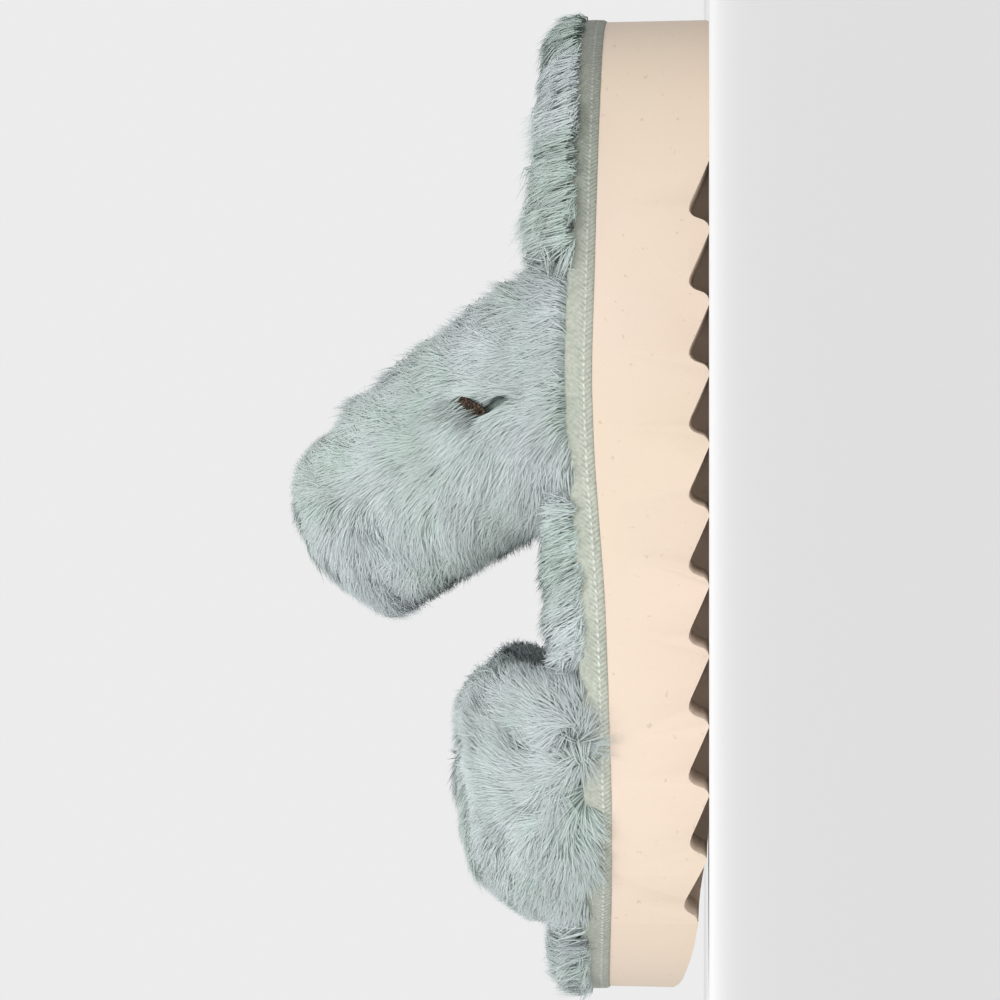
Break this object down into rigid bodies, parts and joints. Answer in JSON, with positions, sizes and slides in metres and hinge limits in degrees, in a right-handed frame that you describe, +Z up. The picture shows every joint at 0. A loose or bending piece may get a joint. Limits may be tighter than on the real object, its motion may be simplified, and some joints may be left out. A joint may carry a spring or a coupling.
{
  "type": "fuzzy slide slipper",
  "caption": "Left fuzzy two-band slide slipper on a thick lugged foam sole, with an open toe, an open heel and a taped fur footbed.",
  "frame": {"origin": "middle of the footprint on the ground", "axes": "+Z up from the ground, +Y from heel to toe, +X to the inner side of this left shoe"},
  "size_m": [0.1088, 0.2749, 0.1184],
  "materials": {
    "foam": "matte",
    "tape": "woven",
    "footbed_fur": "pile",
    "band_fur": "pile"
  },
  "bodies": {
    "root": {"outsole": "foam", "edge_tape": "tape", "fur_footbed": "footbed_fur", "toe_band": "band_fur", "instep_band": "band_fur"}
  },
  "joints": []
}
